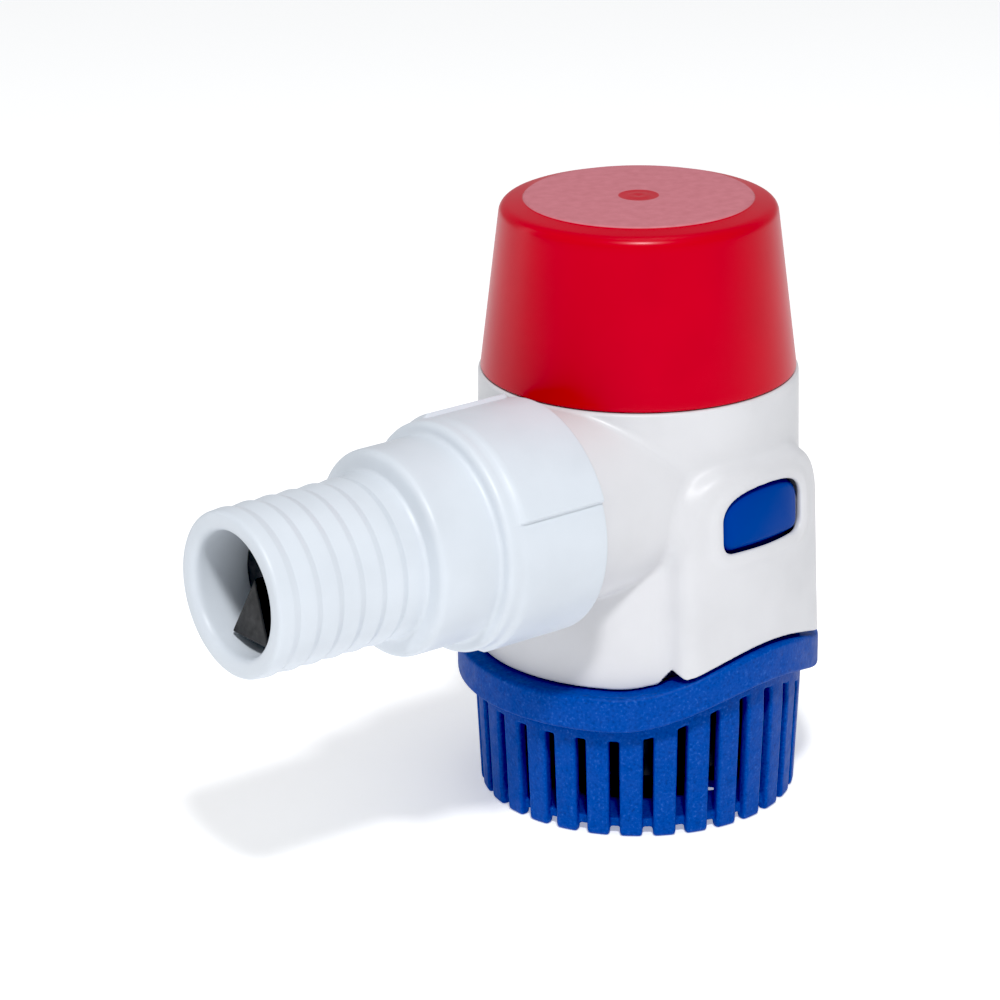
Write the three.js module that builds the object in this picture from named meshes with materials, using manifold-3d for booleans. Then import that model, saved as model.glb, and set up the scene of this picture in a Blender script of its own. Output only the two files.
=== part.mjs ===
// Submersible bilge pump: a clip-on slotted strainer, a white pump housing with a tangential
// discharge boss, a sealed motor under a tapered red cap, and a screw-on hose fitting.
//
// Millimetres, +Z up. The origin is on the motor axis at the strainer's resting face.
// The discharge runs along -X, and the two release buttons face almost along -Y and +Y.

import * as THREE from 'three';
import { mergeVertices } from 'three/addons/utils/BufferGeometryUtils.js';
import Module from 'manifold-3d';

const wasm = await Module();
wasm.setup();

// ---------------------------------------------------------------- driving dimensions

const GAP = 0.3; // clearance between pieces that rest on each other
const FIT = 0.15; // clearance between round pieces that sit in each other

// Overall shape of the pump
const HEIGHT = 115.9;
const BODY_R = 30.15;
const SKIRT_R = 31.2; // lower part of the housing, over the impeller chamber
const SEAM_Z = 83.3; // where the cap meets the housing
const WALL = 2.2;
const HOUSING_IN_R = 25.2;

// Release pods: two raised shoulders on the housing, each with a window
const POD_ANGLE = THREE.MathUtils.degToRad(276.2); // direction of the first pod from +X
const POD_FACE_R = 33.2; // middle of the face at window height
const POD_FLARE = 1.3; // how much further out the face is at its two sides
const POD_DRAFT = 0.035; // growth of the face radius per millimetre downward
const POD_HALF_WIDTH = 18.4;
const POD_TOP_Z = 71.5;
const POD_CORNER_R = 10;
const POD_LOW_Z = 30;
const POD_SHOULDER_Z = 66; // the face starts to curve in above this height
const WINDOW_Z = 61.8; // middle height of the window
const WINDOW_WIDTH = 20.9;
const WINDOW_HEIGHT = 11.8;

// Strainer
const STRAINER_TOP_R = 31.2;
const STRAINER_FOOT_R = 30.2;
const STRAINER_WALL = 2.2;
const STRAINER_IN_R = STRAINER_TOP_R - STRAINER_WALL;
const FLOOR_LOW_Z = 1.5;
const FLOOR_TOP_Z = 3.3;
const SLOT_COUNT = 30;
const SLOT_WIDTH = 1.9;
const SLOT_TOP_Z = 19.5;
const RIM_R = 34.5;
const RIM_LOW_Z = 22.7;
const RIM_TOP_Z = 29.5;
const RIM_GAP = 0.5; // between the rim and the housing that stands on it
const WAVE_RISE = 6.4; // the rim and the slots rise this much under the pods
const WAVE_SPAN = THREE.MathUtils.degToRad(55); // half the length of that rise

// Release tabs
const TAB_IN_R = 29.4;
const TAB_OUT_R = 31.1;
const TAB_HALF_WIDTH = 9.4;
const TAB_ROOT_Z = 31.4;
const TAB_TOP_Z = 68.6;
const TAB_CORNER_R = 5;
const BUTTON_OUT_R = 32.2; // inside the pocket, so that the housing can lift past it
const BUTTON_GAP = 0.35; // between the button and its window
const POCKET_OUT_R = 32.5;
const POCKET_IN_R = 26.6;
const POCKET_HALF_WIDTH = 11.4;
const POCKET_TOP_Z = 69.6;

// Discharge: boss on the housing and screw-on hose fitting, all on one axis
const PORT_Y = -11;
const PORT_Z = 64.9;
const BOSS_R = 18.3;
const BOSS_END = 33.6; // distances along the discharge are from the motor axis
const SPIGOT_R = 17;
const SPIGOT_END = 50;
const PORT_BORE_R = 12.8;
const COLLAR_R = 21.4;
const COLLAR_TOOTH = 0.8; // height of each grip tooth
const COLLAR_TEETH = 4;
const COLLAR_START = BOSS_END + GAP;
const COLLAR_END = 55.5;
const SHOULDER_R = 18.9;
const SHOULDER_END = 68.5;
const BARB_R = 15.2;
const BARB_DEPTH = 0.5;
const BARB_COUNT = 6;
const BARB_PITCH = 4.54;
const MOUTH_END = 100.4;
const NOZZLE_BORE_R = 11.4;
const LIP_ROUND = 2.2; // rounding of the mouth's inner edge
const VALVE_SEAT = 88; // distance of the valve seat's front face from the motor axis
const FLAP_R = 10;
const WEDGE_LOW = -9.2; // the flap's stiffening wedge, in heights from the discharge axis
const WEDGE_TOP = 1.9;
const WEDGE_DEPTH = 8.2;
const WEDGE_HALF_WIDTH = 5.6;
const FLAP_THICK = 1.8;
const TOOTH_TURN = THREE.MathUtils.degToRad(20); // where the first grip tooth ends

// Impeller chamber, motor pot and motor
const CUP_LOW_Z = 8.5;
const CUP_R = 25;
const CUP_TOP_Z = 28.7;
const CHAMBER_LOW_R = 26.4;
const INLET_R = 8;
const POT_R = 21.6;
const POT_IN_R = 19.6;
const POT_FLOOR_Z = 29.2;
const POT_FLOOR = 2.3;
const MOTOR_R = 18.6;
const MOTOR_LOW_Z = 33;
const MOTOR_TOP_Z = 94;
const MOTOR_SHELL = 1.2;
const SHAFT_R = 1.6;
const SHAFT_LOW_Z = 13.6;
const SHAFT_TOP_Z = 106.6;
const IMPELLER_R = 17.5;
const IMPELLER_LOW_Z = 11.6;
const IMPELLER_TOP_Z = 21.9;
const VANE_COUNT = 6;
const POLE_COUNT = 5;
const CARD_TOP_Z = 104;
const WINDING_R = 9.2; // the winding slots' distance from the axis
const CORE_R = 14.2;
const CORE_LOW_Z = 54;
const CORE_TOP_Z = 82;
const MAGNET_LOW_Z = 51;
const MAGNET_TOP_Z = 85;
const BRUSH_LOW_Z = 96.4;
const BRUSH_HEIGHT = 3.6;

// Cap: a tapered wall, a rounded corner and a raised flat top
const CAP_LOW_Z = SEAM_Z + 0.2;
const CAP_LOW_R = 29.55;
const CAP_CORNER_Z = 112.8;
const CAP_CORNER_R = 25.9;
const CAP_WALL = 2;
const CAP_TOP_R = 21.2;

// Lead outlet at the back of the cap
const GLAND_ANGLE = THREE.MathUtils.degToRad(52);
const GLAND_Z = 95;

// Facets around large, middling and small round pieces
const ROUND = 36;
const MIDDLE_ROUND = 22;
const SMALL_ROUND = 12;

// ---------------------------------------------------------------- materials

function plastic(color, roughness) {
  return new THREE.MeshStandardMaterial({ color, roughness, metalness: 0 });
}

function metal(color, roughness) {
  return new THREE.MeshStandardMaterial({ color, roughness, metalness: 1 });
}

const MATERIAL = {
  capRed: plastic(0xc8001c, 0.32),
  bodyWhite: plastic(0xe2e3e8, 0.4),
  fittingWhite: plastic(0xdce2ea, 0.42),
  strainerBlue: plastic(0x0046a5, 0.6),
  buttonBlue: plastic(0x003c91, 0.4),
  chamberGrey: plastic(0x2b2c2e, 0.55),
  impellerGrey: plastic(0x8d9094, 0.5),
  rubber: plastic(0x1b1b1d, 0.8),
  steel: metal(0xb9bcc0, 0.35),
  zinc: metal(0x9fa4a8, 0.45),
  bronze: metal(0xa9753a, 0.5),
  copper: metal(0xb4652f, 0.4),
  brass: metal(0xc7a34c, 0.35),
  ferrite: plastic(0x3a3a3d, 0.8),
  carbon: plastic(0x202022, 0.7),
  card: plastic(0x9c7b4d, 0.7),
  nylon: plastic(0xe9e4d2, 0.5),
};

// ---------------------------------------------------------------- geometry helpers

// A copy of a geometry with shared corners, no empty triangles and its faces pointing out.
function closedGeometry(source) {
  let geometry = source.clone();
  geometry.deleteAttribute('normal');
  geometry.deleteAttribute('uv');
  if (!geometry.index) {
    geometry.setIndex([...Array(geometry.attributes.position.count).keys()]);
  }
  geometry = mergeVertices(geometry, 1e-4);
  const index = geometry.index.array;
  const kept = [];
  for (let i = 0; i < index.length; i += 3) {
    const [a, b, c] = [index[i], index[i + 1], index[i + 2]];
    if (a !== b && b !== c && c !== a) {
      kept.push(a, b, c);
    }
  }
  if (signedVolume(geometry.attributes.position, kept) < 0) {
    kept.reverse();
  }
  geometry.setIndex(kept);
  return geometry;
}

function signedVolume(position, index) {
  const a = new THREE.Vector3();
  const b = new THREE.Vector3();
  const c = new THREE.Vector3();
  let sum = 0;
  for (let i = 0; i < index.length; i += 3) {
    a.fromBufferAttribute(position, index[i]);
    b.fromBufferAttribute(position, index[i + 1]);
    c.fromBufferAttribute(position, index[i + 2]);
    sum += a.dot(b.cross(c));
  }
  return sum / 6;
}

function solid(geometry) {
  const closed = closedGeometry(geometry);
  return new wasm.Manifold(
    new wasm.Mesh({
      numProp: 3,
      vertProperties: new Float32Array(closed.attributes.position.array),
      triVerts: new Uint32Array(closed.index.array),
    }),
  );
}

function geometryOf(manifold) {
  const mesh = manifold.getMesh();
  const geometry = new THREE.BufferGeometry();
  geometry.setAttribute('position', new THREE.BufferAttribute(new Float32Array(mesh.vertProperties), 3));
  geometry.setIndex(new THREE.BufferAttribute(new Uint32Array(mesh.triVerts), 1));
  return geometry;
}

// A solid turned about +Z from a profile of [radius, height] points.
function turned(profile, facets = ROUND) {
  const points = profile.map(([r, z]) => new THREE.Vector2(r, z));
  const onAxis = profile[0][0] === 0 && profile[profile.length - 1][0] === 0;
  if (!onAxis) {
    points.push(points[0].clone());
  }
  return new THREE.LatheGeometry(points, facets).rotateX(Math.PI / 2);
}

function disc(radius, low, high, facets = ROUND) {
  return turned([[0, low], [radius, low], [radius, high], [0, high]], facets);
}

function ring(inner, outer, low, high, facets = ROUND) {
  return turned([[inner, low], [outer, low], [outer, high], [inner, high]], facets);
}

// A box given by its low and high corners.
function block(low, high) {
  const size = high.map((value, i) => value - low[i]);
  const middle = high.map((value, i) => (value + low[i]) / 2);
  return new THREE.BoxGeometry(...size).translate(...middle);
}

// An outline in X and Y, given height between two levels.
function raised(shape, low, high, curveSegments = 5) {
  const options = { depth: high - low, bevelEnabled: false, curveSegments };
  return new THREE.ExtrudeGeometry(shape, options).translate(0, 0, low);
}

// An outline drawn in tangent (x) and height (y) that reaches out along a direction.
function reachingOut(shape, angle, near, far, curveSegments = 4) {
  return raised(shape, near, far, curveSegments)
    .rotateX(Math.PI / 2)
    .rotateZ(Math.PI)
    .rotateZ(angle - Math.PI / 2);
}

// Moves a solid turned about +Z onto the discharge axis: its heights become distances along -X.
function alongDischarge(geometry) {
  return geometry.rotateY(-Math.PI / 2).translate(0, PORT_Y, PORT_Z);
}

// Moves every corner of a geometry by a rule given its angle, radius and height.
function reshaped(geometry, rule) {
  const position = geometry.attributes.position;
  for (let i = 0; i < position.count; i++) {
    const x = position.getX(i);
    const y = position.getY(i);
    const next = rule(Math.atan2(y, x), Math.hypot(x, y), position.getZ(i));
    position.setXYZ(i, next.r * Math.cos(next.angle), next.r * Math.sin(next.angle), next.z);
  }
  return geometry;
}

// Angle from the nearer pod's middle, between -90 and 90 degrees.
function fromPod(angle) {
  const turns = (angle - POD_ANGLE) / Math.PI;
  return (turns - Math.round(turns)) * Math.PI;
}

// 0 away from the pods, rising smoothly to 1 under the middle of each.
function podWave(angle) {
  const off = fromPod(angle);
  if (Math.abs(off) >= WAVE_SPAN) {
    return 0;
  }
  return (1 + Math.cos((Math.PI * off) / WAVE_SPAN)) / 2;
}

function waved(geometry, share = () => 1) {
  return reshaped(geometry, (angle, r, z) => ({
    angle,
    r,
    z: z + WAVE_RISE * podWave(angle) * share(r, z),
  }));
}

const bothPods = [POD_ANGLE, POD_ANGLE + Math.PI];

// An arched outline: straight sides and rounded upper corners.
function archShape(halfWidth, low, high, cornerR) {
  const shape = new THREE.Shape();
  shape.moveTo(-halfWidth, low);
  shape.lineTo(halfWidth, low);
  shape.lineTo(halfWidth, high - cornerR);
  shape.absarc(halfWidth - cornerR, high - cornerR, cornerR, 0, Math.PI / 2, false);
  shape.lineTo(cornerR - halfWidth, high);
  shape.absarc(cornerR - halfWidth, high - cornerR, cornerR, Math.PI / 2, Math.PI, false);
  return shape;
}

// The window's outline: flat below with round corners, arched above.
function windowShape(shrink) {
  const half = WINDOW_WIDTH / 2 - shrink;
  const low = WINDOW_Z - WINDOW_HEIGHT / 2 + shrink;
  const high = WINDOW_Z + WINDOW_HEIGHT / 2 - shrink;
  const lowCorner = 2.6 - shrink / 2;
  const shoulder = low + (high - low) * 0.52;
  const shape = new THREE.Shape();
  shape.moveTo(0, low);
  shape.lineTo(half - lowCorner, low);
  shape.quadraticCurveTo(half, low, half, low + lowCorner);
  shape.lineTo(half, shoulder);
  shape.bezierCurveTo(half, high - 1.2, half * 0.55, high, 0, high);
  shape.bezierCurveTo(-half * 0.55, high, -half, high - 1.2, -half, shoulder);
  shape.lineTo(-half, low + lowCorner);
  shape.quadraticCurveTo(-half, low, lowCorner - half, low);
  return shape;
}

// ---------------------------------------------------------------- strainer and its release tabs

function strainerWall() {
  const profile = [
    [STRAINER_FOOT_R - STRAINER_WALL, 0],
    [STRAINER_FOOT_R, 0],
    [STRAINER_TOP_R, RIM_LOW_Z - 2],
    [STRAINER_TOP_R, RIM_TOP_Z],
    [STRAINER_IN_R, RIM_TOP_Z],
    [STRAINER_IN_R, RIM_LOW_Z - 2],
  ];
  const wall = turned(profile, SLOT_COUNT);
  return solid(waved(wall, (r, z) => (z >= RIM_TOP_Z ? 1 : z > 0 ? 0.9 : 0)));
}

function strainerRim() {
  const profile = [
    [STRAINER_TOP_R - 0.5, RIM_LOW_Z],
    [RIM_R - 0.9, RIM_LOW_Z],
    [RIM_R, RIM_LOW_Z + 0.8],
    [RIM_R, RIM_TOP_Z - 0.8],
    [RIM_R - 0.7, RIM_TOP_Z],
    [STRAINER_TOP_R - 0.5, RIM_TOP_Z],
  ];
  return solid(waved(turned(profile, SLOT_COUNT)));
}

function strainerSlot(number) {
  const angle = ((number + 0.5) / SLOT_COUNT) * Math.PI * 2;
  const high = SLOT_TOP_Z + WAVE_RISE * podWave(angle);
  const slot = block([STRAINER_IN_R - 2, -SLOT_WIDTH / 2, -1], [RIM_R, SLOT_WIDTH / 2, high]);
  return solid(slot.rotateZ(angle));
}

function strainerBase() {
  let base = strainerWall().add(strainerRim());
  for (let i = 0; i < SLOT_COUNT; i++) {
    base = base.subtract(strainerSlot(i));
  }
  base = base.add(solid(disc(STRAINER_FOOT_R - 1.2, FLOOR_LOW_Z, FLOOR_TOP_Z, SLOT_COUNT)));
  base = base.add(solid(disc(9, 0, FLOOR_LOW_Z + 0.5, SMALL_ROUND)));
  for (const angle of bothPods) {
    const notch = block(
      [STRAINER_IN_R - 3, -TAB_HALF_WIDTH - GAP, TAB_ROOT_Z - GAP],
      [TAB_OUT_R + GAP, TAB_HALF_WIDTH + GAP, TAB_TOP_Z],
    );
    base = base.subtract(solid(notch.rotateZ(angle)));
    const screwHole = disc(2.3, 0, FLOOR_TOP_Z + 1, SMALL_ROUND);
    base = base.subtract(solid(screwHole.translate(19 * Math.cos(angle), 19 * Math.sin(angle), 0)));
  }
  return base;
}

// One springy arm of the strainer with the release button at its top.
function releaseTab(angle) {
  const arm = solid(ring(TAB_IN_R, TAB_OUT_R, TAB_ROOT_Z, TAB_TOP_Z)).intersect(
    solid(reachingOut(archShape(TAB_HALF_WIDTH, TAB_ROOT_Z, TAB_TOP_Z, TAB_CORNER_R), angle, 20, 40)),
  );
  const button = solid(ring(TAB_IN_R + 0.5, BUTTON_OUT_R, TAB_ROOT_Z, TAB_TOP_Z)).intersect(
    solid(reachingOut(windowShape(BUTTON_GAP), angle, 20, 40)),
  );
  return arm.add(button);
}

// ---------------------------------------------------------------- housing

function housingShell() {
  const profile = [
    [SKIRT_R - 0.1, RIM_TOP_Z + RIM_GAP],
    [SKIRT_R - 0.25, 50],
    [BODY_R + 0.1, 62],
    [BODY_R - 0.15, SEAM_Z - 0.4],
    [BODY_R - 0.5, SEAM_Z],
    [27.1, SEAM_Z],
    [27.1, SEAM_Z + 2],
    [25.9, SEAM_Z + 2],
    [25.9, SEAM_Z + 4],
    [26.4, SEAM_Z + 4],
    [26.4, SEAM_Z + 6],
    [HOUSING_IN_R, SEAM_Z + 6],
    [HOUSING_IN_R, 26.5],
    [STRAINER_IN_R - GAP - 0.1, 26.5],
    [STRAINER_IN_R - GAP - 0.1, RIM_TOP_Z + RIM_GAP],
  ];
  const lowEdge = RIM_TOP_Z + RIM_GAP;
  return solid(waved(turned(profile), (r, z) => (Math.abs(z - lowEdge) < 1e-3 ? 1 : 0)));
}

// The raised face of a pod: flatter than the body and widening downward.
function podFace() {
  const profile = [
    [HOUSING_IN_R, POD_LOW_Z],
    [POD_FACE_R, POD_LOW_Z],
    [POD_FACE_R, POD_SHOULDER_Z],
    [POD_FACE_R - 1.2, POD_SHOULDER_Z + 3.5],
    [BODY_R - 0.4, POD_TOP_Z + 1.5],
    [HOUSING_IN_R, POD_TOP_Z + 1.5],
  ];
  return reshaped(turned(profile), (angle, r, z) => {
    const side = Math.min(Math.abs(fromPod(angle)) / THREE.MathUtils.degToRad(30), 1.2);
    const grow = POD_FLARE * side * side + POD_DRAFT * (WINDOW_Z - Math.min(z, POD_SHOULDER_Z));
    return { angle, z, r: r > POD_FACE_R - 2 ? r + grow : r };
  });
}

function pod(angle) {
  const outline = archShape(POD_HALF_WIDTH, 26, POD_TOP_Z, POD_CORNER_R);
  return solid(podFace()).intersect(solid(reachingOut(outline, angle, 20, 40)));
}

// Everything of a pod that lies below the rim's top, where the strainer is.
function podTrim() {
  const low = RIM_TOP_Z + RIM_GAP;
  const trim = turned([[STRAINER_IN_R - GAP, 20], [40, 20], [40, low], [STRAINER_IN_R - GAP, low]]);
  return solid(waved(trim, (r, z) => (z > 25 ? 1 : 0)));
}

function pocket(angle) {
  const profile = [
    [STRAINER_IN_R - 0.1, 20],
    [POCKET_OUT_R, 20],
    [POCKET_OUT_R, POCKET_TOP_Z],
    [POCKET_IN_R, POCKET_TOP_Z],
    [POCKET_IN_R, 58],
    [STRAINER_IN_R - 0.1, 36],
  ];
  const outline = archShape(POCKET_HALF_WIDTH, 15, POCKET_TOP_Z, TAB_CORNER_R);
  return solid(turned(profile)).intersect(solid(reachingOut(outline, angle, 20, 40)));
}

function motorPot() {
  const profile = [
    [5, POT_FLOOR_Z],
    [POT_R, POT_FLOOR_Z],
    [POT_R, SEAM_Z - 4],
    [26, SEAM_Z - 4],
    [26, SEAM_Z - 0.5],
    [POT_IN_R, SEAM_Z - 0.5],
    [POT_IN_R, POT_FLOOR_Z + POT_FLOOR],
    [5, POT_FLOOR_Z + POT_FLOOR],
  ];
  return solid(turned(profile));
}

// The water's way up around the motor pot: narrower where the strainer slides over the housing.
function waterChamber() {
  const upper = ring(POT_R - 1, BODY_R - WALL, POD_LOW_Z, SEAM_Z - 3.5);
  return solid(ring(POT_R - 1, CHAMBER_LOW_R, 20, POD_LOW_Z + 1)).add(solid(upper));
}

function housing() {
  let body = housingShell();
  const boss = turned([
    [0, 0],
    [BOSS_R, 0],
    [BOSS_R, BOSS_END],
    [SPIGOT_R, BOSS_END],
    [SPIGOT_R, SPIGOT_END],
    [0, SPIGOT_END],
  ], 30);
  body = body.add(solid(alongDischarge(boss)));
  body = body.subtract(waterChamber());
  for (const angle of bothPods) {
    body = body.add(pod(angle));
  }
  body = body.subtract(solid(disc(HOUSING_IN_R, 20, SEAM_Z + 10)));
  body = body.subtract(podTrim());
  for (const angle of bothPods) {
    body = body.subtract(pocket(angle));
    body = body.subtract(solid(reachingOut(windowShape(0), angle, 30, 40)));
  }
  body = body.subtract(solid(alongDischarge(disc(PORT_BORE_R, 5, SPIGOT_END + 1, 30))));
  return body.add(motorPot());
}

// ---------------------------------------------------------------- impeller chamber and impeller

function impellerHousing() {
  return turned([
    [INLET_R, CUP_LOW_Z],
    [CUP_R - 2, CUP_LOW_Z],
    [CUP_R, CUP_LOW_Z + 2],
    [CUP_R, CUP_TOP_Z - 2],
    [CHAMBER_LOW_R - GAP, CUP_TOP_Z - 2],
    [CHAMBER_LOW_R - GAP, CUP_TOP_Z],
    [CUP_R - 2, CUP_TOP_Z],
    [CUP_R - 2, CUP_LOW_Z + 2],
    [INLET_R, CUP_LOW_Z + 2],
  ], MIDDLE_ROUND);
}

function vaneShape() {
  const inner = new THREE.Vector2(5, 0);
  const outer = new THREE.Vector2(15.2, 8.2);
  const bend = new THREE.Vector2(12.5, 0.5);
  const thick = 1.5;
  const shape = new THREE.Shape();
  shape.moveTo(inner.x, inner.y);
  shape.quadraticCurveTo(bend.x, bend.y, outer.x, outer.y);
  shape.lineTo(outer.x - thick * 0.9, outer.y + thick * 0.6);
  shape.quadraticCurveTo(bend.x - thick, bend.y + thick, inner.x - 1.5, inner.y + thick);
  return shape;
}

function impeller() {
  const top = IMPELLER_TOP_Z;
  const hub = solid(disc(4.2, IMPELLER_LOW_Z, top, SMALL_ROUND));
  let wheel = solid(disc(IMPELLER_R, top - 1.5, top, MIDDLE_ROUND)).add(hub);
  for (let i = 0; i < VANE_COUNT; i++) {
    const vane = raised(vaneShape(), IMPELLER_LOW_Z, top - 1, 3);
    wheel = wheel.add(solid(vane.rotateZ((i / VANE_COUNT) * Math.PI * 2)));
  }
  return wheel.subtract(solid(disc(SHAFT_R + FIT, SHAFT_LOW_Z - GAP, top + 1, SMALL_ROUND)));
}

// ---------------------------------------------------------------- motor

function motorCan() {
  const low = MOTOR_LOW_Z;
  const inner = MOTOR_R - MOTOR_SHELL;
  return turned([
    [4.15, low - 1],
    [6.2, low - 1],
    [6.2, low],
    [MOTOR_R, low],
    [MOTOR_R, MOTOR_TOP_Z],
    [inner, MOTOR_TOP_Z],
    [inner, low + MOTOR_SHELL],
    [6.2, low + MOTOR_SHELL],
    [6.2, low + 3],
    [4.15, low + 3],
  ], MIDDLE_ROUND);
}

function bearing(low) {
  return ring(SHAFT_R + 0.05, 4, low, low + 4, SMALL_ROUND);
}

function thrustWasher(low) {
  return ring(SHAFT_R + FIT, 3.8, low, low + 0.6, SMALL_ROUND);
}

function magnet(angle) {
  const half = THREE.MathUtils.degToRad(60);
  const shape = new THREE.Shape();
  shape.absarc(0, 0, MOTOR_R - MOTOR_SHELL - 0.2, angle - half, angle + half, false);
  shape.absarc(0, 0, 14.8, angle + half, angle - half, true);
  return raised(shape, MAGNET_LOW_Z, MAGNET_TOP_Z, 8);
}

function armatureCore() {
  let core = solid(disc(CORE_R, CORE_LOW_Z, CORE_TOP_Z, MIDDLE_ROUND));
  for (let i = 0; i < POLE_COUNT; i++) {
    const angle = (i / POLE_COUNT) * Math.PI * 2;
    const slot = disc(3.5, CORE_LOW_Z - 1, CORE_TOP_Z + 1, 8).translate(WINDING_R, 0, 0).rotateZ(angle);
    const mouth = block([WINDING_R, -0.7, CORE_LOW_Z - 1], [16, 0.7, CORE_TOP_Z + 1]).rotateZ(angle);
    core = core.subtract(solid(slot)).subtract(solid(mouth));
  }
  return core.subtract(solid(disc(SHAFT_R + FIT, CORE_LOW_Z - 1, CORE_TOP_Z + 1, SMALL_ROUND)));
}

function armatureWinding() {
  const low = CORE_LOW_Z - GAP;
  const top = CORE_TOP_Z + GAP;
  let coils = solid(ring(4.5, 12.6, low - 5.5, low, 20)).add(solid(ring(4.5, 12.6, top, top + 5.5, 20)));
  for (let i = 0; i < POLE_COUNT; i++) {
    const run = disc(3.1, low - 1, top + 1, 8).translate(WINDING_R, 0, 0);
    coils = coils.add(solid(run.rotateZ((i / POLE_COUNT) * Math.PI * 2)));
  }
  return coils;
}

function commutator() {
  return turned([
    [SHAFT_R + FIT, 89],
    [6.4, 89],
    [6.4, 90.2],
    [5, 90.2],
    [5, 100.5],
    [SHAFT_R + FIT, 100.5],
  ], SMALL_ROUND);
}

function brushCard() {
  const low = MOTOR_TOP_Z + GAP;
  return turned([
    [8, low],
    [MOTOR_R - 0.1, low],
    [MOTOR_R - 0.1, CARD_TOP_Z],
    [MOTOR_R - 1.6, CARD_TOP_Z],
    [MOTOR_R - 1.6, low + 1.4],
    [8, low + 1.4],
  ], MIDDLE_ROUND);
}

function brush(side) {
  return block([5.3, -2, BRUSH_LOW_Z], [10.5, 2, BRUSH_LOW_Z + BRUSH_HEIGHT]).rotateZ(side);
}

// The leaf that carries a brush and presses it on the commutator.
function brushArm(side) {
  const shape = new THREE.Shape();
  shape.moveTo(10.8, -2);
  shape.lineTo(11.3, -2);
  shape.lineTo(11.3, 4);
  shape.lineTo(13.5, 9.4);
  shape.lineTo(13, 9.6);
  shape.lineTo(10.8, 4.2);
  return raised(shape, BRUSH_LOW_Z, BRUSH_LOW_Z + BRUSH_HEIGHT, 1).rotateZ(side);
}

function endPlate() {
  const low = CARD_TOP_Z + GAP;
  return turned([
    [4.15, low - 2],
    [6.2, low - 2],
    [6.2, low],
    [MOTOR_R - 0.1, low],
    [MOTOR_R - 0.1, low + 1.2],
    [6.2, low + 1.2],
    [6.2, low + 2],
    [4.15, low + 2],
  ], MIDDLE_ROUND);
}

function terminal(side) {
  const low = CARD_TOP_Z + 2 * GAP + 1.2;
  return block([12.6, -2.4, low], [13.4, 2.4, low + 6]).rotateZ(side);
}

// ---------------------------------------------------------------- cap, seals and lead outlet

// The cap's outer radius at a height, for its straight tapered wall.
function capRadius(z) {
  const share = (z - CAP_LOW_Z) / (CAP_CORNER_Z - CAP_LOW_Z);
  return CAP_LOW_R + share * (CAP_CORNER_R - CAP_LOW_R);
}

function motorCap() {
  const ceiling = HEIGHT - CAP_WALL - 0.2;
  const shell = turned([
    [0, ceiling],
    [CAP_TOP_R + 1.2, ceiling],
    [CAP_CORNER_R - CAP_WALL, CAP_CORNER_Z - 1],
    [CAP_LOW_R - CAP_WALL, CAP_LOW_Z],
    [CAP_LOW_R - 0.4, CAP_LOW_Z],
    [capRadius(CAP_LOW_Z + 0.4), CAP_LOW_Z + 0.4],
    [CAP_CORNER_R, CAP_CORNER_Z],
    [CAP_CORNER_R - 0.8, CAP_CORNER_Z + 1.8],
    [CAP_TOP_R + 0.3, HEIGHT - 0.5],
    [CAP_TOP_R, HEIGHT],
    [0, HEIGHT],
  ]);
  const leadHole = disc(4.3, 20, 40, SMALL_ROUND);
  leadHole.rotateY(Math.PI / 2).translate(0, 0, GLAND_Z).rotateZ(GLAND_ANGLE);
  return solid(shell).subtract(solid(leadHole));
}

function torus(major, minor, facets = MIDDLE_ROUND) {
  const profile = [];
  for (let i = 0; i < 6; i++) {
    const angle = (i / 6) * Math.PI * 2;
    profile.push([major + minor * Math.cos(angle), minor * Math.sin(angle)]);
  }
  return turned(profile, facets);
}

// The rubber bush that the supply leads come out of, drawn about its own axis.
function wireGland() {
  const bush = turned([
    [2.4, 25],
    [4, 25],
    [4, 29.9],
    [5.8, 29.9],
    [5.8, 31.6],
    [4, 32],
    [3.4, 36],
    [2.4, 36],
  ], SMALL_ROUND);
  return bush.rotateY(Math.PI / 2).translate(0, 0, GLAND_Z).rotateZ(GLAND_ANGLE);
}

function shaftSeal() {
  return ring(SHAFT_R + FIT, 4.8, POT_FLOOR_Z - 0.8, POT_FLOOR_Z + 2, SMALL_ROUND);
}

// ---------------------------------------------------------------- discharge fitting and check valve

// Radius of the grip collar: it grows around each tooth and drops at the tooth's end.
function collarRadius(angle) {
  const share = (-angle / (Math.PI * 2)) * COLLAR_TEETH;
  return COLLAR_R + COLLAR_TOOTH * (share - Math.floor(share));
}

// Outline of the grip collar across the discharge axis.
function collarShape() {
  const shape = new THREE.Shape();
  const steps = 5;
  for (let tooth = 0; tooth < COLLAR_TEETH; tooth++) {
    for (let step = 0; step <= steps; step++) {
      const angle = ((tooth + (step / steps) * 0.999) / COLLAR_TEETH) * Math.PI * 2;
      const r = collarRadius(angle);
      if (tooth === 0 && step === 0) {
        shape.moveTo(r * Math.cos(angle), r * Math.sin(angle));
      } else {
        shape.lineTo(r * Math.cos(angle), r * Math.sin(angle));
      }
    }
  }
  return shape;
}

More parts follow.
